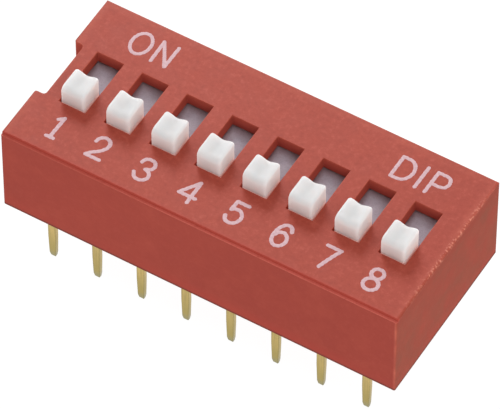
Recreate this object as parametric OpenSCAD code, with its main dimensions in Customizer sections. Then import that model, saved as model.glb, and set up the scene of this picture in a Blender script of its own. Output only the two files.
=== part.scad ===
// Eight-position DIP slide switch with raised actuators.
// Origin: centre of the pin pattern on the seating plane of the circuit board.
// X runs from switch 1 to switch 8, Y from the numbered side to the ON side, Z up.
// The sliders are drawn at OFF, against the numbered end of their slots.

/* [Cover] */
// Length of the cover along X
body_l = 21.98; // [21.7:0.01:27]
// Width of the cover along Y
body_w = 9.76; // [9.6:0.01:12]
// Height of the cover above the seating plane
body_h = 5.5; // [5.2:0.05:7]
// Thickness of the cover's top
top_t = 0.7; // [0.5:0.05:0.9]
// Thickness of the two long walls
side_wall = 0.85; // [0.6:0.05:0.85]
// Thickness of the two end walls
end_wall = 0.97; // [0.8:0.01:0.97]
// Radius of the cover's vertical corners
corner_r = 0.08; // [0.04:0.01:0.3]
// Radius of the cover's top edges at the two ends
edge_r = 0.12; // [0.04:0.01:0.2]
// Radius of the cover's back top edge
back_edge_r = 0.19; // [0.04:0.01:0.4]
// Depth of the narrow step along the front top edge
step_d = 0.14; // [0.04:0.01:0.2]
// Height of that step
step_h = 0.19; // [0.05:0.01:0.3]
// Size of the chamfer round the cover's mouth, which leads the base in
mouth_chamfer = 0.15; // [0.05:0.01:0.3]

/* [End notch] */
// Width of the notch that marks the switch 1 end
notch_w = 3.56; // [2:0.01:4]
// Depth of the notch into the end wall
notch_d = 0.58; // [0.36:0.01:0.6]
// Radius of the notch's corners
notch_r = 0.17; // [0.03:0.01:0.28]

/* [Slots and sliders] */
// Width of a slot along X
slot_w = 1.48; // [1.38:0.01:1.7]
// Length of a slot along Y
slot_l = 3.54; // [3:0.01:4]
// Radius of the slots' upper edges
slot_edge_r = 0.05; // [0.02:0.01:0.1]
// Width of a knob along X
knob_w = 1.32; // [1:0.01:1.36]
// Length of a knob along Y
knob_l = 1.45; // [1.2:0.01:1.7]
// Height of a knob's rims above the cover
knob_h = 1.04; // [0.6:0.01:1.6]
// Depth of the finger groove along the top of a knob
groove_d = 0.15; // [0.05:0.01:0.3]
// Width of the flat on each rim beside the groove
rim_flat = 0.04; // [0.01:0.01:0.1]
// Radius of a knob's front top edge
knob_front_r = 0.26; // [0.05:0.01:0.4]
// Radius of a knob's upright edges
knob_corner_r = 0.13; // [0.03:0.01:0.2]
// Radius of a knob's other edges
knob_r = 0.09; // [0.03:0.01:0.12]
// Thickness of a slider's skirt
skirt_t = 0.5; // [0.35:0.05:0.8]
// Width of a slider's skirt along X
skirt_w = 2; // [1.9:0.01:2.1]
// Width of the slider's lower block, which carries the contact
block_w = 1.6; // [1.5:0.05:1.9]
// Length of the slider's lower block
block_l = 3.5; // [3.4:0.05:3.8]

/* [Contacts] */
// Thickness of the moving contact's strip
contact_t = 0.12; // [0.08:0.01:0.16]
// Width of the moving contact's strip
contact_w = 0.9; // [0.6:0.05:1]
// Height of the moving contact from its feet to its crown
contact_h = 1.1; // [0.9:0.05:1.2]
// Distance between the contact's two feet
foot_gap = 2.4; // [2.2:0.05:2.6]
// Bend radius of the contact's strip at its middle line
contact_bend_r = 0.24; // [0.15:0.01:0.3]
// Width of the slit that splits each foot of the contact into two fingers
contact_slit_w = 0.14; // [0.08:0.01:0.2]
// Length of that slit, measured along Y
contact_slit_l = 0.75; // [0.4:0.05:0.9]
// Diameter of the peg that holds the contact in its slider
peg_d = 0.36; // [0.25:0.01:0.5]

/* [Terminals] */
// Thickness of the terminal strip
pin_t = 0.25; // [0.18:0.01:0.26]
// Width of a pin
pin_w = 0.45; // [0.38:0.01:0.6]
// Width of a pin at its tip, before its corner is cut
pin_tip_w = 0.36; // [0.2:0.01:0.36]
// Length of the tapered end of a pin
pin_taper_l = 1.5; // [0.4:0.05:2]
// Width of the cuts at a pin's tip
pin_cut_w = 0.08; // [0.01:0.01:0.1]
// Height of the cuts at a pin's tip
pin_cut_h = 0.2; // [0.05:0.01:0.3]
// Length of a pin below the seating plane
pin_l = 3.78; // [2.5:0.01:4.5]
// Distance between the two rows of pins
row_gap = 7.62; // [7.6:0.01:7.65]
// Width of a terminal's contact pad
pad_w = 0.9; // [0.7:0.05:1.1]
// Inner bend radius of a terminal
terminal_bend_r = 0.12; // [0.05:0.01:0.2]
// Inner end of the front pads, measured from the middle
front_pad_y = 0; // [-0.1:0.05:0.1]
// Inner end of the back pads, measured from the middle
back_pad_y = 0.75; // [0.5:0.05:1]

/* [Base] */
// Height of the base's top above the seating plane
base_top = 1.9; // [1.7:0.05:2]
// Height of the base's underside above the seating plane
base_rise = 0.3; // [0.1:0.05:0.5]
// Depth of the cored pockets in the base's underside
core_d = 0.9; // [0.5:0.05:1]
// Width of a snap barb
barb_w = 1.2; // [0.8:0.1:1.6]
// How far a snap barb stands out of the base's end
barb_d = 0.2; // [0.1:0.01:0.3]

/* [Clearances] */
// Gap between pieces that are pressed or snapped together
seat_gap = 0.02; // [0.01:0.005:0.03]
// Gap between a slider and what guides it
slide_gap = 0.07; // [0.04:0.01:0.07]
// Gap above a slider's skirt, and under a contact's feet
rub_gap = 0.03; // [0.02:0.005:0.05]

/* [Hidden] */
poles = 8;
pitch = 2.54;
$fn = 48;
over = 1;                                  // how far a cutting shape runs past what it cuts
arc_steps = 6;                             // straight pieces in a rounded corner

// Cover, inside
cavity_l = body_l - 2 * end_wall;
cavity_w = body_w - 2 * side_wall;
ceiling = body_h - top_t;                  // underside of the cover's top
pocket_w = skirt_w + 2 * slide_gap;        // one slider's space between two ribs
rib_foot = base_top + seat_gap;

// Slider
travel = slot_l - knob_l - 2 * rub_gap;
slider_y = -travel / 2;                    // middle of a slider at OFF; ON is at +travel / 2
skirt_top = ceiling - rub_gap;
skirt_lap = 0.1;                           // how far the skirt still covers past each end of the slot
skirt_l = slot_l + travel + 2 * skirt_lap;
skirt_play = 0.1;                          // room past the skirt at each end of its travel
pocket_l = max(cavity_w, skirt_l + travel + 2 * skirt_play);
knob_top = body_h + knob_h;
groove_w = knob_w - 2 * (knob_r + rim_flat);
block_lift = 0.4;                          // room under the slider's lower block
block_foot = base_top + block_lift;
contact_roof = base_top + rub_gap + contact_h + seat_gap;
contact_play = 0.05;                       // room at each side of the contact
contact_room_w = contact_w + 2 * contact_play;
contact_room_l = foot_gap + 2 * (contact_bend_r + contact_t);

// Base
base_l = cavity_l - 2 * seat_gap;
base_w = cavity_w - 2 * seat_gap;
pad_floor = base_top - pin_t;
barb_z = 1;                                // height of a barb's catching edge
barb_h = 0.5;
barb_ramp_h = 0.35;                        // height of the sloped part of a barb
barb_y = 2.9;                              // the barbs lie on both sides of the notch
core_w = 1.5;
core_l = 4.4;

// Terminals
row_y = row_gap / 2;
neck_l = 0.55;                             // from the row to where a pad narrows to the pin's width
neck_y = row_y - neck_l;
groove_clear = 0.03;                       // gap around a pin in its groove

// ---- outlines -------------------------------------------------------------------------------

function pole_x(n) = (n - (poles + 1) / 2) * pitch;

function unit(v) = v / norm(v);

// Points of the arc that rounds corner b between its neighbours a and c.
function corner(a, b, c, r) =
    r == 0 ? [b] :
    let (
        to_a = unit(a - b),
        to_c = unit(c - b),
        half = acos(to_a * to_c) / 2,
        centre = b + unit(to_a + to_c) * r / sin(half),
        first = b + to_a * r / tan(half) - centre,
        turn = sign(cross(to_c, to_a)) * (180 - 2 * half),
        start = atan2(first[1], first[0])
    )
    [for (i = [0:arc_steps])
        centre + r * [cos(start + turn * i / arc_steps), sin(start + turn * i / arc_steps)]];

// An outline whose corners are rounded: each entry is [point, radius].
function rounded(corners) =
    let (count = len(corners))
    [for (i = [0:count - 1])
        each corner(
            corners[(i + count - 1) % count][0], corners[i][0], corners[(i + 1) % count][0], corners[i][1]
        )];

function box_corners(w, l, r) =
    [[[-w / 2, -l / 2], r], [[w / 2, -l / 2], r], [[w / 2, l / 2], r], [[-w / 2, l / 2], r]];

// Both sides of a strip of thickness t that follows a path.
function strip(path, t) =
    let (
        count = len(path),
        along = [for (i = [0:count - 1]) unit(path[min(i + 1, count - 1)] - path[max(i - 1, 0)])],
        left = [for (i = [0:count - 1]) path[i] + t / 2 * [-along[i][1], along[i][0]]],
        right = [for (i = [0:count - 1]) path[i] - t / 2 * [-along[i][1], along[i][0]]]
    )
    concat(left, [for (i = [count - 1:-1:0]) right[i]]);

// A profile in the YZ plane, drawn w wide and centred on X.
module across(w) {
    rotate([90, 0, 90])
        translate([0, 0, -w / 2])
            linear_extrude(w)
                children();
}

// A profile in the XZ plane, drawn l long and centred on Y.
module along_y(l) {
    translate([0, l / 2, 0])
        rotate([90, 0, 0])
            linear_extrude(l)
                children();
}

// ---- cover ----------------------------------------------------------------------------------

// Plan of the cover, with the notch at the switch 1 end.
function cover_plan() =
    let (x = body_l / 2, y = body_w / 2, n = notch_w / 2)
    rounded([
        [[-x, -y], corner_r],
        [[x, -y], corner_r],
        [[x, y], corner_r],
        [[-x, y], corner_r],
        [[-x, n], notch_r],
        [[-x + notch_d, n], notch_r],
        [[-x + notch_d, -n], notch_r],
        [[-x, -n], notch_r]
    ]);

// Front view: the top edges at both ends are rounded.
function cover_front() =
    let (x = body_l / 2)
    rounded([[[-x, 0], 0], [[x, 0], 0], [[x, body_h], edge_r], [[-x, body_h], edge_r]]);

// End view: the back top edge is well rounded and the front one has the narrow step.
function cover_side() =
    let (y = body_w / 2)
    rounded([
        [[-y, 0], 0],
        [[y, 0], 0],
        [[y, body_h], back_edge_r],
        [[-y + step_d, body_h], 0],
        [[-y + step_d, body_h - step_h], 0],
        [[-y, body_h - step_h], 0]
    ]);

module cover_block() {
    intersection() {
        linear_extrude(body_h)
            polygon(cover_plan());
        along_y(body_w + over)
            polygon(cover_front());
        across(body_l + over)
            polygon(cover_side());
    }
}

// Half of the mouth's profile and its mirror image: straight walls that open out at the bottom.
function mouth(half) =
    let (wide = half + mouth_chamfer)
    [
        [-wide, -over], [-wide, 0], [-half, mouth_chamfer], [-half, rib_foot],
        [half, rib_foot], [half, mouth_chamfer], [wide, 0], [wide, -over]
    ];

// The space that the base is pushed into.
module base_room() {
    intersection() {
        across(body_l)
            polygon(mouth(cavity_w / 2));
        along_y(body_w)
            polygon(mouth(cavity_l / 2));
    }
}

// Profile of a slot: straight walls whose upper edges are rounded over.
function slot_profile(half) =
    let (
        r = slot_edge_r,
        steps = 3,
        turns = [for (i = [0:steps]) 90 * i / steps],
        edge = [for (a = turns) [half + r * (1 - cos(a)), body_h - r * (1 - sin(a))]],
        right = concat([[half, ceiling - over]], edge, [[half + r, body_h + over]])
    )
    concat(right, [for (i = [len(right) - 1:-1:0]) [-right[i][0], right[i][1]]]);

module slot() {
    intersection() {
        across(slot_w + over)
            polygon(slot_profile(slot_l / 2));
        along_y(slot_l + over)
            polygon(slot_profile(slot_w / 2));
    }
}

// A recess in the end wall that a barb of the base snaps into.
module barb_recess() {
    translate([cavity_l / 2 - over, -barb_w / 2 - seat_gap, barb_z - barb_h - seat_gap])
        cube([over + barb_d, barb_w + 2 * seat_gap, barb_h + 2 * seat_gap]);
}

module at_barbs() {
    for (end = [0, 1], y = [-barb_y, barb_y])
        mirror([end, 0, 0])
            translate([0, y, 0])
                children();
}

module cover() {
    color("#B4554A")
        difference() {
            cover_block();
            base_room();
            for (n = [1:poles])
                translate([pole_x(n), 0, 0]) {
                    translate([-pocket_w / 2, -pocket_l / 2, base_top])
                        cube([pocket_w, pocket_l, ceiling - base_top]);
                    slot();
                }
            at_barbs()
                barb_recess();
        }
}

// ---- base -----------------------------------------------------------------------------------

// Space for one terminal: its pad lies flush in the top, its pin runs down a groove in the side.
module terminal_room(pad_end) {
    edge = base_w / 2 + over;
    pin_face = row_y - pin_t / 2 - groove_clear;
    translate([-pad_w / 2 - seat_gap, pad_end - seat_gap, pad_floor])
        cube([pad_w + 2 * seat_gap, neck_y - pad_end + 2 * seat_gap, pin_t + over]);
    across(pin_w + 2 * groove_clear)
        polygon([
            [neck_y, base_top + over],
            [neck_y, pad_floor],
            [pin_face - terminal_bend_r, pad_floor],
            [pin_face, pad_floor - terminal_bend_r],
            [pin_face, base_rise - over],
            [edge, base_rise - over],
            [edge, base_top + over]
        ]);
}

// A wedge that snaps into the cover: sloped below, square on top.
module barb() {
    reach = barb_d - seat_gap;
    translate([base_l / 2, 0, 0])
        along_y(barb_w)
            polygon([
                [-seat_gap, barb_z - barb_h],
                [0, barb_z - barb_h],
                [reach, barb_z - barb_h + barb_ramp_h],
                [reach, barb_z],
                [-seat_gap, barb_z]
            ]);
}

module base() {
    color("#9E4238")
        union() {
            difference() {
                translate([0, 0, base_rise])
                    linear_extrude(base_top - base_rise)
                        polygon(rounded(box_corners(base_l, base_w, corner_r)));
                for (n = [1:poles])
                    translate([pole_x(n), 0, 0]) {
                        terminal_room(back_pad_y);
                        mirror([0, 1, 0])
                            terminal_room(-front_pad_y);
                        translate([0, 0, base_rise - over])
                            linear_extrude(core_d + over)
                                polygon(rounded(box_corners(core_w, core_l, corner_r)));
                    }
            }
            at_barbs()
                barb();
        }
}

// ---- terminals ------------------------------------------------------------------------------

// Side view of a back terminal: a flat pad, one square bend and a straight pin with a thinned tip.
function terminal_side(pad_end) =
    let (
        outer = row_y + pin_t / 2,
        inner = row_y - pin_t / 2
    )
    rounded([
        [[pad_end, base_top], 0],
        [[pad_end, pad_floor], 0],
        [[inner, pad_floor], terminal_bend_r],
        [[inner, -pin_l + pin_cut_h], 0],
        [[inner + pin_cut_w, -pin_l], 0],
        [[outer, -pin_l], 0],
        [[outer, base_top], terminal_bend_r + pin_t]
    ]);

// Front view of a pin: straight, then tapered to a tip with one cut corner.
function pin_front() =
    let (w = pin_w / 2, tip = pin_tip_w / 2, taper_z = -pin_l + pin_taper_l)
    [
        [w, base_top],
        [w, taper_z],
        [tip, -pin_l + pin_cut_h],
        [tip - pin_cut_w, -pin_l],
        [-tip, -pin_l],
        [-w, taper_z],
        [-w, base_top]
    ];

module terminal(pad_end) {
    color("#B9A05A")
        intersection() {
            across(pad_w)
                polygon(terminal_side(pad_end));
            union() {
                translate([-pad_w / 2, pad_end, pad_floor])
                    cube([pad_w, neck_y - pad_end, pin_t]);
                translate([0, (neck_y + row_y + pin_t) / 2, 0])
                    along_y(row_y + pin_t - neck_y)
                        polygon(pin_front());
            }
        }
}

module terminal_back(n) {
    translate([pole_x(n), 0, 0])
        terminal(back_pad_y);
}

module terminal_front(n) {
    translate([pole_x(n), 0, 0])
        rotate([0, 0, 180])
            terminal(-front_pad_y);
}

// ---- moving contact -------------------------------------------------------------------------

// Middle line of one arm, from the crown's middle to the upturned end. The crown bends down round
// one circle and the foot turns up round another, and the straight leg is the tangent of both.
function contact_arm() =
    let (
        r = contact_bend_r,
        foot_z = base_top + rub_gap + contact_t / 2,
        crown = [0.35, foot_z + contact_h - contact_t - r],
        foot = [foot_gap / 2, foot_z + r],
        apart = foot - crown,
        slope = -atan2(apart[1], apart[0]) + asin(2 * r / norm(apart)),
        upturn = 50,
        steps = 8
    )
    concat(
        [[0, crown[1] + r]],
        [for (i = [0:steps]) crown + r * [sin(slope * i / steps), cos(slope * i / steps)]],
        [for (i = [0:steps])
            let (a = -slope + (slope + upturn) * i / steps)
            foot + r * [sin(a), -cos(a)]]
    );

function contact_path() =
    let (arm = contact_arm())
    concat([for (i = [len(arm) - 1:-1:1]) [-arm[i][0], arm[i][1]]], arm);

// Splits one foot into two fingers, from the upturned end inwards.
module contact_slit() {
    translate([-contact_slit_w / 2, contact_room_l / 2 - contact_slit_l, base_top])
        cube([contact_slit_w, contact_slit_l, contact_h]);
}

module contact(n) {
    color("#C9A94E")
        translate([pole_x(n), slider_y, 0])
            difference() {
                across(contact_w)
                    polygon(strip(contact_path(), contact_t));
                translate([0, 0, contact_roof - 2 * contact_t])
                    cylinder(h = 3 * contact_t, d = peg_d + 2 * seat_gap);
                for (end = [0, 1])
                    mirror([0, end, 0])
                        contact_slit();
            }
}

// ---- actuator -------------------------------------------------------------------------------

// Front view of a knob, with the finger groove between two rounded rims. The groove is one wave of a
// cosine, so it runs into the rims without an edge.
function knob_front() =
    let (w = knob_w / 2, steps = 14)
    concat(
        [[-w, skirt_top - skirt_t / 2], [w, skirt_top - skirt_t / 2]],
        corner([w, 0], [w, knob_top], [0, knob_top], knob_r),
        [for (i = [1:steps - 1])
            let (turn = 360 * i / steps)
            [groove_w / 2 - groove_w * i / steps, knob_top - groove_d * (1 - cos(turn)) / 2]],
        corner([0, knob_top], [-w, knob_top], [-w, 0], knob_r)
    );

// End view of a knob: the front top edge is well rounded.
function knob_side() =
    let (y = knob_l / 2)
    rounded([
        [[-y, skirt_top - skirt_t / 2], 0],
        [[y, skirt_top - skirt_t / 2], 0],
        [[y, knob_top], knob_r],
        [[-y, knob_top], knob_front_r]
    ]);

module knob() {
    intersection() {
        translate([0, 0, skirt_top - skirt_t / 2])
            linear_extrude(knob_top)
                polygon(rounded(box_corners(knob_w, knob_l, knob_corner_r)));
        along_y(knob_l + over)
            polygon(knob_front());
        across(knob_w + over)
            polygon(knob_side());
    }
}

module actuator(n) {
    color("#E4E1DC")
        translate([pole_x(n), slider_y, 0]) {
            knob();
            translate([-skirt_w / 2, -skirt_l / 2, skirt_top - skirt_t])
                cube([skirt_w, skirt_l, skirt_t]);
            difference() {
                translate([-block_w / 2, -block_l / 2, block_foot])
                    cube([block_w, block_l, skirt_top - skirt_t / 2 - block_foot]);
                translate([-contact_room_w / 2, -contact_room_l / 2, block_foot - over])
                    cube([contact_room_w, contact_room_l, contact_roof - block_foot + over]);
            }
            translate([0, 0, contact_roof - 2 * contact_t])
                cylinder(h = 3 * contact_t, d = peg_d);
        }
}

cover();
base();
for (n = [1:poles]) {
    actuator(n);
    contact(n);
    terminal_front(n);
    terminal_back(n);
}
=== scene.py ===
"""Looks of an eight-position slide switch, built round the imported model.

Every length below is in millimetres unless its name or comment says otherwise, and MM turns it into metres.
X runs from switch 1 to switch 8, Y from the numbered side to the ON side, Z up out of the board.
"""

import itertools
import math

import bmesh
import bpy
import numpy as np
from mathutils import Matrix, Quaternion, Vector


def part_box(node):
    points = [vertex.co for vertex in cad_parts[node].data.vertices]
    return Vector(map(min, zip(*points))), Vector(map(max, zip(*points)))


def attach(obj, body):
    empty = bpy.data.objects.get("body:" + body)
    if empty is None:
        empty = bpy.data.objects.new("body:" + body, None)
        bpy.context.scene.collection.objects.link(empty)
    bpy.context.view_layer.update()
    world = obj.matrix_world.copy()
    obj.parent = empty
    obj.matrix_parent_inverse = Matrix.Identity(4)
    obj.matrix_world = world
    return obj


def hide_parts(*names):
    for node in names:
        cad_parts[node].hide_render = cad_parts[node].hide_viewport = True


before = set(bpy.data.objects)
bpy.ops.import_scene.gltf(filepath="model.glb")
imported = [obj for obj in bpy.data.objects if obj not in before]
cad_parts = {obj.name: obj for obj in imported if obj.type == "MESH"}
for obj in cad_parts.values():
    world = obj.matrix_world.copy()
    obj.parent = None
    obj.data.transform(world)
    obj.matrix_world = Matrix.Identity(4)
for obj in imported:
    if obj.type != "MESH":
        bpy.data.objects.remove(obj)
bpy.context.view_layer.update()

MM = 0.001
POLES = 8
PITCH = 2.54

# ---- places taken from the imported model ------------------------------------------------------

COVER_LOW, COVER_HIGH = (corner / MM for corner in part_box("cover"))
LEFT = COVER_LOW.x
RIGHT = COVER_HIGH.x
FRONT = COVER_LOW.y
BACK = COVER_HIGH.y
COVER_TOP = COVER_HIGH.z
PIN_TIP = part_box("terminal_front_1")[0].z / MM
KNOB_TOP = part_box("actuator_1")[1].z / MM

# ---- small helpers ---------------------------------------------------------------------------


def new_object(name, mesh):
    piece = bpy.data.objects.new(name, mesh)
    bpy.context.scene.collection.objects.link(piece)
    return piece


def mesh_of(name, bm):
    """A smooth-shaded mesh in metres from a bmesh drawn in millimetres."""
    bmesh.ops.recalc_face_normals(bm, faces=bm.faces)
    bmesh.ops.scale(bm, vec=(MM, MM, MM), verts=bm.verts)
    mesh = bpy.data.meshes.new(name)
    bm.to_mesh(mesh)
    bm.free()
    mesh.polygons.foreach_set("use_smooth", [True] * len(mesh.polygons))
    return mesh


def flat_shading(piece):
    """Keeps large flat faces flat where they meet small rounded ones."""
    normals = piece.modifiers.new("flat_shading", "WEIGHTED_NORMAL")
    normals.mode = "FACE_AREA"
    normals.weight = 100


def smooth_step(low, high, value):
    t = min(1.0, max(0.0, (value - low) / (high - low)))
    return t * t * (3 - 2 * t)


# ---- material nodes --------------------------------------------------------------------------


class Nodes:
    """A short way to write a node tree: every method adds a node and returns its output.

    A share is a number from 0 to 1: how much of a colour or a mark a point of the surface gets.
    """

    def __init__(self, name):
        self.material = bpy.data.materials.new(name)
        self.material.use_nodes = True
        self.tree = self.material.node_tree
        self.shader = self.tree.nodes["Principled BSDF"]

    def put(self, socket, value):
        """Links another node's output to a socket, or sets the socket's own value."""
        if isinstance(value, bpy.types.NodeSocket):
            self.tree.links.new(value, socket)
        else:
            socket.default_value = value

    def add(self, kind, **inputs):
        node = self.tree.nodes.new(kind)
        for key, value in inputs.items():
            self.put(node.inputs[key.replace("_", " ")], value)
        return node

    def place(self):
        """The point on the surface, in metres in the shared frame."""
        return self.tree.nodes.new("ShaderNodeTexCoord").outputs["Object"]

    def parts(self, vector):
        """The X, Y and Z parts of a vector."""
        return self.add("ShaderNodeSeparateXYZ", Vector=vector).outputs

    def facing(self):
        """The way a surface faces."""
        return self.parts(self.tree.nodes.new("ShaderNodeNewGeometry").outputs["Normal"])

    def stretched(self, place, scale):
        node = self.add("ShaderNodeMapping", Vector=place)
        node.inputs["Scale"].default_value = scale
        return node.outputs["Vector"]

    def noise(self, place, grain_mm, detail=4.0, roughness=0.55):
        """Cloudy noise round 0.5. Its lumps are about grain_mm across."""
        node = self.add("ShaderNodeTexNoise", Vector=place, Detail=detail, Roughness=roughness)
        node.inputs["Scale"].default_value = 1 / MM / grain_mm
        return node.outputs["Fac"]

    def ramp(self, value, low, high, out_low, out_high):
        """Turns low to high into out_low to out_high, and stays at these beyond them."""
        node = self.tree.nodes.new("ShaderNodeMapRange")
        self.put(node.inputs["Value"], value)
        for key, number in (("From Min", low), ("From Max", high), ("To Min", out_low), ("To Max", out_high)):
            node.inputs[key].default_value = number
        return node.outputs["Result"]

    def share(self, value, none, full, most=1.0):
        """A share that is 0 where the value is at none and most where it is at full."""
        return self.ramp(value, none, full, 0.0, most)

    def share_mm(self, length, none, full, most=1.0):
        """The same for a length, with none and full in millimetres."""
        return self.share(length, none * MM, full * MM, most)

    def mix(self, share, a, b, blend="MIX"):
        node = self.tree.nodes.new("ShaderNodeMix")
        node.data_type = "RGBA"
        node.blend_type = blend
        self.put(node.inputs[0], share)
        self.put(node.inputs[6], a)
        self.put(node.inputs[7], b)
        return node.outputs[2]

    def maths(self, operation, a, b=0.0):
        node = self.tree.nodes.new("ShaderNodeMath")
        node.operation = operation
        self.put(node.inputs[0], a)
        self.put(node.inputs[1], b)
        return node.outputs[0]

    def times(self, a, b):
        return self.maths("MULTIPLY", a, b)

    def minus(self, a, b):
        return self.maths("SUBTRACT", a, b)

    def larger(self, a, b):
        return self.maths("MAXIMUM", a, b)

    def size_of(self, a):
        """A number without its sign."""
        return self.maths("ABSOLUTE", a)

    def line(self, at, reach_mm, **held):
        """1 on a straight line, falling to 0 at reach_mm from it.

        The line is given by the two coordinates that stay the same all along it.
        """
        squares = []
        for axis, value in held.items():
            offset = self.minus(at[axis], value * MM)
            squares.append(self.times(offset, offset))
        distance = self.maths("SQRT", self.maths("ADD", *squares))
        return self.share_mm(distance, reach_mm, 0.0)

    def edges(self, reach_mm):
        """1 on a sharp edge, falling to 0 where the surface is flat."""
        geometry = self.tree.nodes.new("ShaderNodeNewGeometry")
        rounded = self.add("ShaderNodeBevel", Radius=reach_mm * MM)
        turn = self.tree.nodes.new("ShaderNodeVectorMath")
        turn.operation = "DOT_PRODUCT"
        self.put(turn.inputs[0], geometry.outputs["Normal"])
        self.put(turn.inputs[1], rounded.outputs["Normal"])
        return self.share(turn.outputs["Value"], 0.99, 0.86)

    def bump(self, height, depth_mm, under=None):
        node = self.add("ShaderNodeBump", Height=height, Distance=depth_mm * MM)
        node.inputs["Strength"].default_value = 1.0
        if under is not None:
            self.put(node.inputs["Normal"], under)
        return node.outputs["Normal"]

    def set(self, **inputs):
        """Sets the shader's inputs and returns the finished material."""
        for key, value in inputs.items():
            self.put(self.shader.inputs[key.replace("_", " ")], value)
        return self.material


def linear(channel):
    """One channel of a screen colour (sRGB), 0 to 1, on the linear scale that Blender mixes on."""
    if channel <= 0.04045:
        return channel / 12.92
    return ((channel + 0.055) / 1.055) ** 2.4


def rgb(red, green, blue):
    """A colour as the eye sees it on a screen, 0 to 255, on Blender's linear scale."""
    return (linear(red / 255), linear(green / 255), linear(blue / 255), 1.0)


# ---- red moulding: cover and base ------------------------------------------------------------

RED = {
    # Each facing gets its own tone, painted to match how light falls on it; the paler top is painted sheen.
    "side": rgb(160, 62, 49),
    "end": rgb(154, 62, 44),
    "end_patch": rgb(142, 68, 48),
    "top": rgb(167, 69, 53),
    # Painted light on the ledge of the front step, which lies in shade.
    "step": rgb(232, 122, 108),
    "flow": rgb(240, 234, 234),
    "mottle": rgb(180, 84, 68),
    "grain": rgb(140, 46, 34),
    "pale_speck": rgb(196, 96, 80),
    "dark_speck": rgb(136, 50, 38),
    # Slot and notch walls: painted light, lighter to offset the shade that falls in them.
    "slot_wall_lit": rgb(178, 76, 61),
    "notch_wall_lit": rgb(176, 70, 53),
    # Paler edges: partly rubbed, partly painted highlight.
    "worn_and_lit": rgb(200, 104, 84),
    # Chips on the right top edge: partly real, partly painted glints.
    "chip_glint": rgb(224, 146, 124),
    "end_top": rgb(146, 54, 36),
    # The riser of the front step is painted lighter where shade falls on it.
    "lit_riser": rgb(176, 68, 55),
    "blush": rgb(178, 62, 50),
    # Painted shade along the foot of the moulding.
    "foot": rgb(96, 44, 34),
}

# Upright faces count as slot walls inside this half width and half depth.
SLOTS_HALF_X = 10.1
SLOTS_HALF_Y = 2.1
NOTCH_DEPTH = 0.65
NOTCH_HALF_W = 1.8
ZONE_FADE = 0.1
# The step along the front top edge: its depth, and how far below the top the middle of its riser lies.
STEP_DEPTH = 0.14
STEP_MIDDLE = 0.1

# Straight edges that are paler, partly rubbed and partly painted highlight: reach, share, and the two
# coordinates that the line keeps.
RUBBED_AND_LIT_LINES = (
    (0.1, 1.0, {"X": RIGHT - 0.05, "Y": FRONT}),
    (0.35, 0.4, {"X": RIGHT - 0.12, "Z": COVER_TOP}),
    (0.25, 0.3, {"X": LEFT + 0.2, "Z": COVER_TOP}),
    (0.25, 0.25, {"Y": BACK - 0.3, "Z": COVER_TOP}),
)


def red_faces(n, place, at, up, ends):
    """The colour of the long sides, the ends, the top and the low step along the front edge. Each facing has
    its own tone, painted to match how light falls on it: the paler top is painted sheen, and the ledge of the
    step gets painted light where it lies in shade.
    """
    patch = n.noise(place, grain_mm=1.4, detail=4.0, roughness=0.65)
    end = n.mix(n.share(patch, none=0.35, full=0.65), RED["end"], RED["end_patch"])
    # Painted light: each facing gets its own tone, and the paler top is painted sheen.
    colour = n.mix(up, n.mix(ends, RED["side"], end), RED["top"])
    # Painted light on the ledge of the front step, which lies in the riser's shade; it grows towards the
    # right.
    below_top = n.share_mm(at["Z"], none=COVER_TOP - 0.1, full=COVER_TOP - 0.15)
    rising = n.ramp(at["X"], low=-8 * MM, high=2 * MM, out_low=0.6, out_high=1.0)
    return n.mix(n.times(n.times(up, below_top), rising), colour, RED["step"])


def red_texture(n, colour, place, up, flow, mottle, grain):
    """Wide clouds, mottling, grain and specks. The grain and the specks are faint on upright faces."""
    clouded = n.mix(1.0, colour, RED["flow"], blend="MULTIPLY")
    colour = n.mix(n.share(flow, none=0.35, full=0.65, most=0.4), colour, clouded)
    colour = n.mix(n.share(mottle, none=0.45, full=0.75, most=0.25), colour, RED["mottle"])
    speck = n.noise(place, grain_mm=0.2, detail=3.0)
    strength = n.ramp(up, low=0.0, high=1.0, out_low=0.25, out_high=1.0)
    for share, tone in (
        (n.share(grain, none=0.5, full=0.8, most=0.25), RED["grain"]),
        (n.share(speck, none=0.52, full=0.72, most=0.3), RED["pale_speck"]),
        (n.share(speck, none=0.46, full=0.28, most=0.3), RED["dark_speck"]),
    ):
        colour = n.mix(n.times(strength, share), colour, tone)
    return colour


def red_walls(n, colour, at, facing, up):
    """The walls of the slots, and the wall of the end notch that faces the numbered side, with painted light
    that offsets the shade in them.
    """
    width = n.size_of(at["X"])
    depth = n.size_of(at["Y"])
    inside_x = n.share_mm(width, none=SLOTS_HALF_X + ZONE_FADE, full=SLOTS_HALF_X)
    inside_y = n.share_mm(depth, none=SLOTS_HALF_Y + ZONE_FADE, full=SLOTS_HALF_Y)
    walls = n.times(n.times(inside_y, inside_x), n.minus(1.0, up))
    # Painted light on the slot walls, against the shade inside the slots.
    colour = n.mix(walls, colour, RED["slot_wall_lit"])
    notch_x = n.share_mm(at["X"], none=LEFT + NOTCH_DEPTH + ZONE_FADE, full=LEFT + NOTCH_DEPTH)
    notch_y = n.share_mm(depth, none=NOTCH_HALF_W + ZONE_FADE, full=NOTCH_HALF_W)
    notch = n.times(n.times(notch_x, notch_y), n.share(facing["Y"], none=-0.3, full=-0.8))
    # Painted light on the notch wall, against the shade inside the notch.
    return n.mix(notch, colour, RED["notch_wall_lit"])


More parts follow.
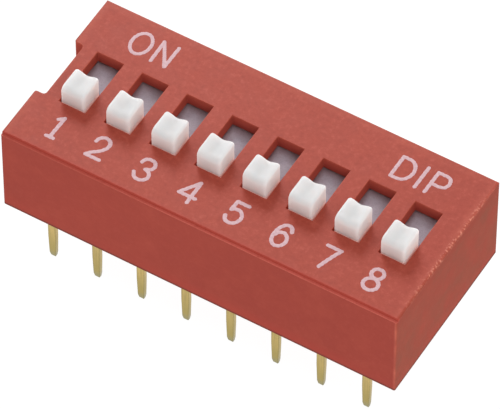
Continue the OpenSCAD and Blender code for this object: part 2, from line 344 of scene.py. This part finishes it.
def red_wear_and_highlights(n, colour, place, at, mottle):
    """Paler edges and small pale chips along the middle of the right top edge, partly rubbed and partly
    painted highlight and glints.
    """
    depth = n.size_of(at["Y"])
    away_from_back = n.share_mm(depth, none=BACK - 0.3, full=BACK - 0.5)
    # Paler edges, partly rubbed and partly painted highlight.
    worn_and_lit = n.times(n.edges(0.12), away_from_back)
    for reach_mm, share, held in RUBBED_AND_LIT_LINES:
        worn_and_lit = n.larger(worn_and_lit, n.times(n.line(at, reach_mm, **held), share))
    worn_and_lit = n.times(worn_and_lit, n.ramp(mottle, low=0.35, high=0.65, out_low=0.3, out_high=0.8))
    colour = n.mix(worn_and_lit, colour, RED["worn_and_lit"])
    # Pale chips along the right top edge, partly painted glints.
    chip_glint = n.noise(place, grain_mm=0.13, detail=2.0)
    glinting_chips = n.times(n.line(at, 0.24, X=RIGHT, Z=COVER_TOP), n.share_mm(depth, none=4.2, full=2.2))
    return n.mix(n.times(glinting_chips, n.share(chip_glint, none=0.5, full=0.64)), colour, RED["chip_glint"])


def red_shades(n, colour, at, ends, flow):
    """Darker tops of the ends, painted light on the riser of the front step, a blush low down, and painted
    shade in a dark line at the foot.
    """
    end_top = n.times(ends, n.share_mm(at["Z"], none=COVER_TOP - 1.0, full=COVER_TOP - 0.3, most=0.45))
    colour = n.mix(end_top, colour, RED["end_top"])
    # Painted light on the riser of the front step, which lies in shade.
    lit_riser = n.line(at, 0.2, Y=FRONT + STEP_DEPTH, Z=COVER_TOP - STEP_MIDDLE)
    colour = n.mix(lit_riser, colour, RED["lit_riser"])
    low = n.times(n.share_mm(at["Z"], none=0.9, full=0.3, most=0.35), n.share(flow, none=0.35, full=0.6))
    colour = n.mix(low, colour, RED["blush"])
    # Painted shade: a dark line along the foot.
    return n.mix(n.share_mm(at["Z"], none=0.2, full=0.08, most=0.7), colour, RED["foot"])


def red_plastic():
    """Matt red moulding: paler on top with painted sheen, mottled, paler along its edges partly from rubbing
    and partly as painted highlight, and darker at its foot with painted shade.
    """
    n = Nodes("moulded_red")
    place = n.place()
    at = n.parts(place)
    facing = n.facing()
    up = n.share(facing["Z"], none=0.3, full=0.8)
    ends = n.share(n.size_of(facing["X"]), none=0.35, full=0.85)
    flow = n.noise(n.stretched(place, (1.0, 0.45, 0.6)), grain_mm=5.0, detail=3.0)
    mottle = n.noise(place, grain_mm=0.9, detail=5.0)
    grain = n.noise(place, grain_mm=0.07, detail=3.0)
    colour = red_faces(n, place, at, up, ends)
    colour = red_texture(n, colour, place, up, flow, mottle, grain)
    colour = red_walls(n, colour, at, facing, up)
    colour = red_wear_and_highlights(n, colour, place, at, mottle)
    colour = red_shades(n, colour, at, ends, flow)
    ripple = n.bump(mottle, depth_mm=0.004)
    return n.set(
        Base_Color=colour,
        Roughness=n.minus(n.ramp(mottle, low=0.3, high=0.7, out_low=0.74, out_high=0.82), n.times(up, 0.28)),
        Specular_IOR_Level=0.22,
        Normal=n.bump(grain, depth_mm=0.0025, under=ripple),
    )


# ---- white moulding: sliders -----------------------------------------------------------------

WHITE = {
    "clean": rgb(210, 210, 210),
    "clean_cloud": rgb(216, 216, 216),
    # Painted light: the upright faces are lighter than the top, and the low right side lighter still.
    "upright": rgb(222, 216, 214),
    "foot": rgb(216, 196, 188),
    "right_foot_lit": rgb(242, 218, 208),
    "skirt": rgb(180, 171, 181),
    "skirt_cloud": rgb(190, 181, 191),
    "skirt_grain": rgb(128, 116, 122),
    # Painted shade, reddened as by light off the red walls, near the slot's walls.
    "painted_wall_shade": rgb(120, 66, 58),
    "gap_glow": rgb(214, 150, 140),
}


def knob_colour(n, at, facing, cloud):
    """The clean knob, with painted light: lighter on its upright faces, warmer low on its sides, where its
    light comes by way of the red cover, and lighter low on its right side.
    """
    colour = n.mix(cloud, WHITE["clean"], WHITE["clean_cloud"])
    upright = n.share(facing["Z"], none=0.8, full=0.2)
    # Painted light: upright faces are lighter than the top.
    colour = n.mix(upright, colour, WHITE["upright"])
    low = n.share_mm(at["Z"], none=COVER_TOP + 0.6, full=COVER_TOP, most=0.45)
    # Painted light: lighter low on the right side.
    foot = n.mix(n.share(facing["X"], none=0.3, full=0.9), WHITE["foot"], WHITE["right_foot_lit"])
    return n.mix(n.times(upright, low), colour, foot)


def skirt_colour(n, at, cloud, grain):
    """The skirt under the slot: grey and grainy, with painted shade, reddened as by light off the red walls,
    near the slot's walls.
    """
    colour = n.mix(cloud, WHITE["skirt"], WHITE["skirt_cloud"])
    colour = n.mix(n.share(grain, none=0.45, full=0.8, most=0.35), colour, WHITE["skirt_grain"])
    # A slider's middle lies half a pitch off a whole number of pitches.
    across = n.maths("FRACT", n.maths("DIVIDE", at["X"], PITCH * MM))
    beside = n.size_of(n.minus(across, 0.5))
    near_sides = n.share(beside, none=0.45 / PITCH, full=0.72 / PITCH)
    near_back = n.share_mm(at["Y"], none=1.35, full=1.75)
    # Painted shade, reddened as by light off the red walls, near the slot's sides and back.
    return n.mix(n.times(n.larger(near_sides, near_back), 0.6), colour, WHITE["painted_wall_shade"])


def white_plastic():
    """White plastic that light goes into, clean on the knobs and grey on the skirts."""
    n = Nodes("moulded_white")
    place = n.place()
    at = n.parts(place)
    clouds = n.noise(place, grain_mm=0.8, detail=3.0)
    cloud = n.share(clouds, none=0.3, full=0.7)
    grain = n.noise(place, grain_mm=0.06, detail=2.0)
    knob = knob_colour(n, at, n.facing(), cloud)
    skirt = skirt_colour(n, at, cloud, grain)
    # A faint glow in the gap round the knob stands for the light that comes through it.
    gap = n.times(
        n.share_mm(at["Z"], none=COVER_TOP - 0.45, full=COVER_TOP - 0.2),
        n.share_mm(at["Z"], none=COVER_TOP + 0.03, full=COVER_TOP - 0.07),
    )
    return n.set(
        # Grey lower down under the cover, white higher up.
        Base_Color=n.mix(n.share_mm(at["Z"], none=COVER_TOP - 0.66, full=COVER_TOP - 0.3), skirt, knob),
        Emission_Color=WHITE["gap_glow"],
        Emission_Strength=n.times(gap, 0.38),
        Roughness=n.ramp(clouds, low=0.3, high=0.7, out_low=0.52, out_high=0.62),
        Subsurface_Weight=1.0,
        Subsurface_Radius=(1.0, 0.9, 0.85),
        Subsurface_Scale=0.9 * MM,
        Specular_IOR_Level=0.05,
        Normal=n.bump(grain, depth_mm=0.0015),
    )


# ---- gold plating, ink and floor -------------------------------------------------------------

GOLD = {
    "bright": rgb(204, 176, 108),
    "patch": rgb(190, 166, 104),
    "streak": rgb(152, 138, 86),
    "lower": rgb(171, 153, 91),
    "tip": rgb(150, 148, 122),
    "edge": rgb(126, 122, 84),
}
INK = rgb(212, 177, 181)
THIN_INK = rgb(196, 157, 164)
FLOOR_BASE = (0.1, 0.1, 0.1, 1.0)
FLOOR_GLOW = (1.0, 1.0, 1.0, 1.0)


def plated_metal():
    """Thin gold plating on a stamped strip: streaked lengthwise, dull and greenish along sheared edges."""
    n = Nodes("plated_gold")
    place = n.place()
    height = n.parts(place)["Z"]
    drawn = n.noise(n.stretched(place, (1.0, 1.0, 0.04)), grain_mm=0.05, detail=3.0)
    patch = n.noise(place, grain_mm=0.6, detail=4.0)
    colour = n.mix(n.share(patch, none=0.35, full=0.65), GOLD["bright"], GOLD["patch"])
    colour = n.mix(n.share(drawn, none=0.42, full=0.62, most=0.45), colour, GOLD["streak"])
    colour = n.mix(n.share_mm(height, none=-1.6, full=-3.0), colour, GOLD["lower"])
    colour = n.mix(n.share_mm(height, none=PIN_TIP + 0.5, full=PIN_TIP, most=0.75), colour, GOLD["tip"])
    colour = n.mix(n.times(n.edges(0.1), 0.8), colour, GOLD["edge"])
    return n.set(
        Base_Color=colour,
        Metallic=1.0,
        Roughness=n.ramp(drawn, low=0.3, high=0.7, out_low=0.28, out_high=0.42),
        Normal=n.bump(drawn, depth_mm=0.003),
    )


def white_print():
    """Slightly worn white ink, through which the red shows a little."""
    n = Nodes("printed_white")
    wear = n.noise(n.place(), grain_mm=0.12, detail=4.0)
    return n.set(
        Base_Color=n.mix(n.share(wear, none=0.35, full=0.7), INK, THIN_INK),
        Roughness=0.55,
        IOR=1.45,
        Normal=n.bump(wear, depth_mm=0.003),
    )


def pale_floor():
    """A white light table: it glows, so that the shadows on it stay faint."""
    n = Nodes("pale_floor")
    return n.set(
        Base_Color=FLOOR_BASE,
        Roughness=0.8,
        Specular_IOR_Level=0.1,
        Emission_Color=FLOOR_GLOW,
        Emission_Strength=0.96,
    )


# ---- CAD pieces that keep their shape --------------------------------------------------------

WELD_REACH = 0.0005
FLAT_ANGLE = math.radians(0.5)
SHARP_ANGLE = math.radians(80)


def add_weld(piece, name):
    """Joins points that lie on each other."""
    weld = piece.modifiers.new(name, "WELD")
    weld.merge_threshold = WELD_REACH * MM


def finish_cad(node, material, edge_mm):
    """Softens a CAD node's sharp edges and gives it its material."""
    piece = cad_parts[node]
    piece.data.materials.clear()
    piece.data.materials.append(material)
    add_weld(piece, "weld")
    flat = piece.modifiers.new("flat_faces", "DECIMATE")
    flat.decimate_type = "DISSOLVE"
    flat.angle_limit = FLAT_ANGLE
    bevel = piece.modifiers.new("soft_edges", "BEVEL")
    bevel.width = edge_mm * MM
    bevel.segments = 2
    bevel.limit_method = "ANGLE"
    bevel.angle_limit = SHARP_ANGLE
    bevel.use_clamp_overlap = False
    add_weld(piece, "join_slivers")
    flat_shading(piece)
    piece.data.polygons.foreach_set("use_smooth", [True] * len(piece.data.polygons))


# ---- sliders ---------------------------------------------------------------------------------

KNOB_W = 1.32
KNOB_L = 1.45
# Radii of the knob's upright corners, and of the side, back and front edges of its top.
KNOB_CORNER_R = 0.13
KNOB_SIDE_R = 0.14
KNOB_BACK_R = 0.15
KNOB_FRONT_R = 0.36
GROOVE_DEPTH = 0.15
GROOVE_HALF_W = 0.53
# How much of the groove's depth is there at the front end of the flat top. It grows to 1 at the back.
GROOVE_FRONT = 0.45
SKIRT_W = 2.0
SKIRT_T = 0.5
SKIRT_DEPTH = 0.73
BLOCK_W = 1.6
BLOCK_L = 3.5
BOX_EDGE = 0.04
# The faces of a box, by the numbers of its corners: low and high take turns fastest along Z, slowest along X.
BOX_FACES = ((0, 1, 3, 2), (4, 6, 7, 5), (0, 4, 5, 1), (2, 3, 7, 6), (0, 2, 6, 4), (1, 5, 7, 3))
KNOB_SUNK = 0.1

ROUND_STEPS = 12
UPRIGHT_STEPS = 4
TOP_STEPS = 8
SIDE_STEPS = 8
MIDDLE_STEPS = 20


def quarter_turn(steps):
    """The angles of a quarter turn, in radians."""
    return [math.radians(90 * i / steps) for i in range(steps + 1)]


def groove(x):
    """Depth of the hollow in the knob's top."""
    if abs(x) >= GROOVE_HALF_W:
        return 0.0
    return GROOVE_DEPTH * math.cos(math.pi * x / (2 * GROOVE_HALF_W)) ** 2


def knob_profile(foot):
    """Side view of a knob, from its front foot over the top to its back foot.

    Each entry is (y, z, outward y, outward z, share of the groove).
    """
    back = KNOB_L / 2
    front_z = KNOB_TOP - KNOB_FRONT_R
    back_z = KNOB_TOP - KNOB_BACK_R
    flat_start = -back + KNOB_FRONT_R
    flat_end = back - KNOB_BACK_R
    line = []
    for i in range(UPRIGHT_STEPS):
        z = foot + (front_z - foot) * i / UPRIGHT_STEPS
        line.append((-back, z, -1.0, 0.0, 0.0))
    for a in quarter_turn(ROUND_STEPS):
        out_y = -math.cos(a)
        out_z = math.sin(a)
        y = flat_start + KNOB_FRONT_R * out_y
        z = front_z + KNOB_FRONT_R * out_z
        line.append((y, z, out_y, out_z, GROOVE_FRONT * out_z))
    for i in range(1, TOP_STEPS):
        t = i / TOP_STEPS
        y = flat_start + (flat_end - flat_start) * t
        line.append((y, KNOB_TOP, 0.0, 1.0, GROOVE_FRONT + (1 - GROOVE_FRONT) * t))
    for a in quarter_turn(ROUND_STEPS):
        out_y = math.sin(a)
        out_z = math.cos(a)
        y = flat_end + KNOB_BACK_R * out_y
        z = back_z + KNOB_BACK_R * out_z
        line.append((y, z, out_y, out_z, 1.0))
    for i in range(1, UPRIGHT_STEPS + 1):
        left = 1 - i / UPRIGHT_STEPS
        line.append((back, foot + (back_z - foot) * left, 1.0, 0.0, left))
    return line


def knob_row(edge, r):
    """One line across the knob, from its right side to its left: each entry is (x, how far it lies in)."""
    right = [(edge + r * math.cos(a), r * (1 - math.sin(a))) for a in quarter_turn(SIDE_STEPS)]
    middle = [(edge * (1 - 2 * i / MIDDLE_STEPS), 0.0) for i in range(1, MIDDLE_STEPS)]
    left = [(-x, inset) for x, inset in reversed(right)]
    return [*right, *middle, *left]


def add_knob(bm, centre, foot):
    """A closed knob with a grooved top: its side view is swept along X and rolled over at both sides."""
    rows = []
    for y, z, out_y, out_z, share in knob_profile(foot):
        r = KNOB_CORNER_R + (KNOB_SIDE_R - KNOB_CORNER_R) * smooth_step(0.0, 0.7, out_z)
        row = []
        for x, inset in knob_row(KNOB_W / 2 - r, r):
            lift = z - out_z * inset - share * groove(x)
            row.append(bm.verts.new((centre.x + x, centre.y + y - out_y * inset, lift)))
        rows.append(row)
    for this, after in zip(rows, rows[1:]):
        for i in range(len(this) - 1):
            bm.faces.new((this[i], this[i + 1], after[i + 1], after[i]))
    bm.faces.new([row[0] for row in rows])
    bm.faces.new([row[-1] for row in rows])
    bm.faces.new([*rows[0], *reversed(rows[-1])])


def add_box(bm, low, high):
    """A box with softened edges between two corners."""
    verts = [bm.verts.new(corner) for corner in itertools.product(*zip(low, high))]
    made = [bm.faces.new([verts[i] for i in face]) for face in BOX_FACES]
    edges = {e for face in made for e in face.edges}
    bmesh.ops.bevel(bm, geom=list(edges), offset=BOX_EDGE, segments=2, profile=0.6, affect="EDGES")


def make_slider(n, material):
    """The white moulding of one slider: knob, skirt under the slot, and the block that holds the contact."""
    node = f"actuator_{n}"
    name = f"slider_{n}_moulding"
    low, high = (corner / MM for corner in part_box(node))
    centre = (low + high) / 2
    skirt_top = COVER_TOP - SKIRT_DEPTH
    bm = bmesh.new()
    add_knob(bm, centre, foot=skirt_top - KNOB_SUNK)
    add_box(
        bm,
        (centre.x - SKIRT_W / 2, low.y, skirt_top - SKIRT_T),
        (centre.x + SKIRT_W / 2, high.y, skirt_top),
    )
    add_box(
        bm,
        (centre.x - BLOCK_W / 2, centre.y - BLOCK_L / 2, low.z),
        (centre.x + BLOCK_W / 2, centre.y + BLOCK_L / 2, skirt_top - SKIRT_T / 2),
    )
    piece = new_object(name, mesh_of(name, bm))
    piece.data.materials.append(material)
    flat_shading(piece)
    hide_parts(node)
    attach(piece, f"slider_{n}")


# ---- print on the cover ----------------------------------------------------------------------

WORD_STROKE = 0.206
DIGIT_STROKE = 0.216
PRINT_GRID = 0.022
PRINT_THICKNESS = 0.012
PRINT_SUNK = 0.003
# The ink rises over this width along its outline, from a little above nothing.
RIM_WIDTH = 0.05
RIM_START = -0.01
MERGE_REACH = 0.0005
SAME_PLACE = 1e-6
SHORTEST = 1e-12
PHASE_STEP = 1.7

# The unevenness of the ink's outline, as waves: height in mm, turns along X and along Y, share of the phase.
OUTLINE_WAVES = (
    (0.006, 23, 17, 1.0),
    (0.005, -31, 38, 2.3),
    (0.004, 71, 57, 4.1),
)

# The box that every character's middle lines fit in, from its centre and its base line.
CHARACTER_HALF_W = 0.55
CHARACTER_LOW = -0.1
CHARACTER_HIGH = 1.4


def arc(cx, cy, rx, ry, steps=16):
    """A closed oval."""
    angles = [math.radians(360 * i / steps) for i in range(steps + 1)]
    return [(cx + rx * math.cos(a), cy + ry * math.sin(a)) for a in angles]


def curve(*points, steps=6):
    """A smooth line through a few points (Catmull-Rom)."""
    p = [Vector(q) for q in points]
    p = [2 * p[0] - p[1], *p, 2 * p[-1] - p[-2]]
    line = []
    for a, b, c, d in zip(p, p[1:], p[2:], p[3:]):
        for i in range(steps):
            t = i / steps
            square = 2 * a - 5 * b + 4 * c - d
            cube = 3 * b - a - 3 * c + d
            line.append(0.5 * (2 * b + (c - a) * t + square * t**2 + cube * t**3))
    return [tuple(q) for q in [*line, p[-2]]]


# The middle lines of each character's strokes, from its centre and its base line.
STROKES = {
    "1": [
        [(0.04, 1.33), (0.0, 0.0)],
        [(0.04, 1.33), (-0.19, 1.13)],
        [(-0.2, 0.0), (0.19, 0.0)],
    ],
    "2": [
        curve(
            (-0.34, 0.93), (-0.26, 1.18), (-0.03, 1.32), (0.23, 1.26), (0.37, 1.03),
            (0.32, 0.74), (0.1, 0.46), (-0.18, 0.24), (-0.38, 0.0),
        ),
        [(-0.38, 0.0), (0.39, 0.0)],
    ],
    "3": [
        curve(
            (-0.34, 0.99), (-0.25, 1.22), (-0.02, 1.31), (0.22, 1.26), (0.35, 1.06),
            (0.3, 0.83), (0.03, 0.68),
        ),
        curve(
            (0.03, 0.68), (0.29, 0.57), (0.4, 0.33), (0.3, 0.09), (0.04, -0.02),
            (-0.22, 0.05), (-0.38, 0.3),
        ),
    ],
    "4": [
        [(0.23, 1.31), (0.23, -0.04)],
        [(0.22, 1.31), (-0.43, 0.34)],
        [(-0.43, 0.34), (0.46, 0.34)],
    ],
    "5": [
        [(0.35, 1.28), (-0.29, 1.28), (-0.33, 0.72)],
        curve(
            (-0.33, 0.72), (-0.1, 0.85), (0.15, 0.81), (0.33, 0.6), (0.35, 0.33),
            (0.21, 0.08), (-0.04, -0.03), (-0.28, 0.05), (-0.4, 0.28),
        ),
    ],
    "6": [
        curve(
            (0.33, 1.02), (0.22, 1.22), (0.03, 1.31), (-0.18, 1.2), (-0.33, 0.93),
            (-0.38, 0.55), (-0.33, 0.22), (-0.18, 0.01), (0.02, -0.05), (0.24, 0.05),
            (0.36, 0.32), (0.29, 0.62), (0.06, 0.8), (-0.18, 0.73), (-0.34, 0.5),
        ),
    ],
    "7": [
        [(-0.38, 1.25), (0.37, 1.25)],
        curve((0.37, 1.25), (0.22, 0.92), (0.05, 0.46), (-0.12, -0.06)),
    ],
    "8": [arc(0.0, 0.96, 0.31, 0.3), arc(0.0, 0.28, 0.38, 0.36)],
    "O": [arc(0.0, 0.67, 0.5, 0.69, steps=28)],
    "N": [[(-0.38, 0.0), (-0.41, 1.35), (0.39, 0.0), (0.41, 1.36)]],
    "D": [
        [(-0.44, 1.32), (-0.45, 0.0), (-0.12, 0.0)],
        curve(
            (-0.12, 0.0), (0.12, 0.06), (0.34, 0.28), (0.44, 0.64), (0.36, 1.02),
            (0.14, 1.26), (-0.1, 1.32),
        ),
        [(-0.1, 1.32), (-0.44, 1.32)],
    ],
    "I": [[(0.01, 1.34), (-0.01, -0.02)]],
    "P": [
        [(-0.4, -0.02), (-0.38, 1.33), (0.08, 1.33)],
        curve((0.08, 1.33), (0.3, 1.25), (0.41, 0.98), (0.32, 0.69), (0.08, 0.58)),
        [(0.08, 0.58), (-0.39, 0.58)],
    ],
}

# Each character with its centre and its base line on the cover's top.
PRINT = [
    ("O", -8.1, 2.63),
    ("N", -6.78, 2.63),
    ("D", 6.77, 2.5),
    ("I", 7.68, 2.5),
    ("P", 8.62, 2.5),
    ("1", -8.83, -3.89),
    ("2", -6.44, -3.89),
    ("3", -3.89, -3.9),
    ("4", -1.35, -3.88),
    ("5", 1.23, -3.89),
    ("6", 3.76, -3.91),
    ("7", 6.31, -3.91),
    ("8", 8.82, -3.9),
]


def distance_to_line(points, x, y):
    """How far each grid point lies from a line of straight pieces."""
    best = np.full(x.shape, np.inf)
    for (ax, ay), (bx, by) in zip(points, points[1:]):
        dx = bx - ax
        dy = by - ay
        length_squared = max(dx * dx + dy * dy, SHORTEST)
        t = np.clip(((x - ax) * dx + (y - ay) * dy) / length_squared, 0, 1)
        best = np.minimum(best, np.hypot(x - ax - t * dx, y - ay - t * dy))
    return best


def ragged(x, y, phase):
    """The small unevenness of a printed outline."""
    return sum(height * np.sin(a * x + b * y + share * phase) for height, a, b, share in OUTLINE_WAVES)


def clip_cell(corners):
    """The part of one grid cell that lies in the print.

    A corner is (key, point, depth), and its depth is above 0 inside the ink.
    """
    kept = []
    for this, after in zip(corners, corners[1:] + corners[:1]):
        key_a, point_a, depth_a = this
        key_b, point_b, depth_b = after
        if depth_a > 0:
            kept.append(this)
        if (depth_a > 0) != (depth_b > 0):
            t = depth_a / (depth_a - depth_b)
            kept.append(((min(key_a, key_b), max(key_a, key_b)), point_a + t * (point_b - point_a), 0.0))
    return kept


def add_character(bm, character, cx, base, phase):
    """One printed character: its outline is cut from a fine grid, and the ink thins out towards its edge."""
    stroke = DIGIT_STROKE if character.isdigit() else WORD_STROKE
    xs = np.arange(-CHARACTER_HALF_W - stroke, CHARACTER_HALF_W + stroke, PRINT_GRID)
    ys = np.arange(CHARACTER_LOW - stroke, CHARACTER_HIGH + stroke, PRINT_GRID)
    x, y = np.meshgrid(xs, ys, indexing="ij")
    distance = np.minimum.reduce([distance_to_line(line, x, y) for line in STROKES[character]])
    depth = (stroke / 2 - distance + ragged(x, y, phase)).tolist()
    made = {}

    def vertex(key, point, inside):
        if key not in made:
            lift = PRINT_THICKNESS * smooth_step(RIM_START, RIM_WIDTH, inside) if inside > 0 else 0.0
            made[key] = bm.verts.new((cx + point.x, base + point.y, COVER_TOP - PRINT_SUNK + lift))
        return made[key]

    for i in range(len(xs) - 1):
        for j in range(len(ys) - 1):
            cell = [(i, j), (i + 1, j), (i + 1, j + 1), (i, j + 1)]
            corners = [((a, b), Vector((xs[a], ys[b])), depth[a][b]) for a, b in cell]
            kept = clip_cell(corners)
            if len(kept) >= 3:
                bm.faces.new([vertex(*corner) for corner in kept])


def close_under(bm, level):
    """Closes an open sheet with a flat copy of itself at the level of its border."""
    border = [v for v in bm.verts if v.is_boundary]
    copy = bmesh.ops.duplicate(bm, geom=[*bm.verts, *bm.edges, *bm.faces])["geom"]
    under = [part for part in copy if isinstance(part, bmesh.types.BMVert)]
    for v in under:
        v.co.z = level
    border += [v for v in under if v.is_boundary]
    bmesh.ops.reverse_faces(bm, faces=[part for part in copy if isinstance(part, bmesh.types.BMFace)])
    bmesh.ops.remove_doubles(bm, verts=border, dist=SAME_PLACE)


def make_print(material):
    """All the print on the cover as one piece."""
    bm = bmesh.new()
    for i, (character, x, y) in enumerate(PRINT):
        add_character(bm, character, x, y, phase=PHASE_STEP * i)
    bmesh.ops.remove_doubles(bm, verts=bm.verts, dist=MERGE_REACH)
    close_under(bm, COVER_TOP - PRINT_SUNK)
    piece = new_object("cover_print", mesh_of("cover_print", bm))
    piece.data.materials.append(material)
    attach(piece, "housing")


# ---- floor, lights and camera ----------------------------------------------------------------

CAMERA_TARGET = Vector((0.036, 0.0, 1.828)) * MM
CAMERA_AZIMUTH = 30.967
CAMERA_ELEVATION = 51.893
CAMERA_ROLL = 0.084
CAMERA_DISTANCE = 298.47 * MM
CAMERA_LENS = 445.6
CAMERA_SENSOR = 36
CAMERA_NEAR_M = 0.01
CAMERA_FAR_M = 10
FLOOR_HALF = 600
# Brightness of the sky low down and high up, and the height (0 to 1) at which it stops changing.
SKY_LOW = 1.3
SKY_HIGH = 0.6
SKY_FADE = 0.5
WHITE_LIGHT = (1.0, 1.0, 1.0, 1.0)


def direction(azimuth, elevation):
    """The way from the object to a place round it. Azimuth 0 is straight in front, and 90 on the right."""
    a = math.radians(azimuth)
    e = math.radians(elevation)
    return Vector((math.sin(a) * math.cos(e), -math.cos(a) * math.cos(e), math.sin(e)))


def add_camera():
    """A long lens at the photograph's angle."""
    data = bpy.data.cameras.new("camera")
    data.sensor_width = CAMERA_SENSOR
    data.lens = CAMERA_LENS
    data.clip_start = CAMERA_NEAR_M
    data.clip_end = CAMERA_FAR_M
    camera = new_object("camera", data)
    back = direction(CAMERA_AZIMUTH, CAMERA_ELEVATION)
    camera.location = CAMERA_TARGET + back * CAMERA_DISTANCE
    camera.rotation_mode = "QUATERNION"
    roll = Quaternion((0, 0, 1), math.radians(CAMERA_ROLL))
    camera.rotation_quaternion = (-back).to_track_quat("-Z", "Y") @ roll
    bpy.context.scene.camera = camera


def add_floor():
    """A plain floor that the tips of the pins stand on."""
    half = FLOOR_HALF
    bm = bmesh.new()
    corners = [(-half, -half), (half, -half), (half, half), (-half, half)]
    bm.faces.new([bm.verts.new((x, y, PIN_TIP)) for x, y in corners])
    floor = new_object("floor", mesh_of("floor", bm))
    floor.data.materials.append(pale_floor())


def add_light(name, azimuth, elevation, distance, size, watts):
    """A round soft light that looks at the object."""
    data = bpy.data.lights.new(name, "AREA")
    data.shape = "DISK"
    data.size = size * MM
    data.energy = watts
    light = new_object(name, data)
    away = direction(azimuth, elevation)
    light.location = away * distance * MM
    light.rotation_mode = "QUATERNION"
    light.rotation_quaternion = away.to_track_quat("Z", "Y")


def add_world():
    """A wide soft sky, brighter low down, where the walls of a light tent would be."""
    world = bpy.data.worlds.new("studio")
    world.use_nodes = True
    tree = world.node_tree
    way = tree.nodes.new("ShaderNodeTexCoord").outputs["Generated"]
    split = tree.nodes.new("ShaderNodeSeparateXYZ")
    tree.links.new(way, split.inputs["Vector"])
    fade = tree.nodes.new("ShaderNodeMapRange")
    tree.links.new(split.outputs["Z"], fade.inputs["Value"])
    for key, number in (("From Min", 0.0), ("From Max", SKY_FADE), ("To Min", SKY_LOW), ("To Max", SKY_HIGH)):
        fade.inputs[key].default_value = number
    background = tree.nodes["Background"]
    background.inputs["Color"].default_value = WHITE_LIGHT
    tree.links.new(fade.outputs["Result"], background.inputs["Strength"])
    bpy.context.scene.world = world


# ---- everything together ---------------------------------------------------------------------

add_camera()
add_floor()
add_world()
add_light("key", azimuth=218, elevation=38, distance=250, size=110, watts=0.325)
add_light("fill", azimuth=75, elevation=42, distance=250, size=200, watts=0.15)

red = red_plastic()
white = white_plastic()
gold = plated_metal()

finish_cad("cover", red, edge_mm=0.02)
finish_cad("base", red, edge_mm=0.03)
for n in range(1, POLES + 1):
    make_slider(n, white)
    finish_cad(f"contact_{n}", gold, edge_mm=0.01)
    finish_cad(f"terminal_front_{n}", gold, edge_mm=0.03)
    finish_cad(f"terminal_back_{n}", gold, edge_mm=0.03)
make_print(white_print())

bpy.context.scene.view_settings.view_transform = "Standard"
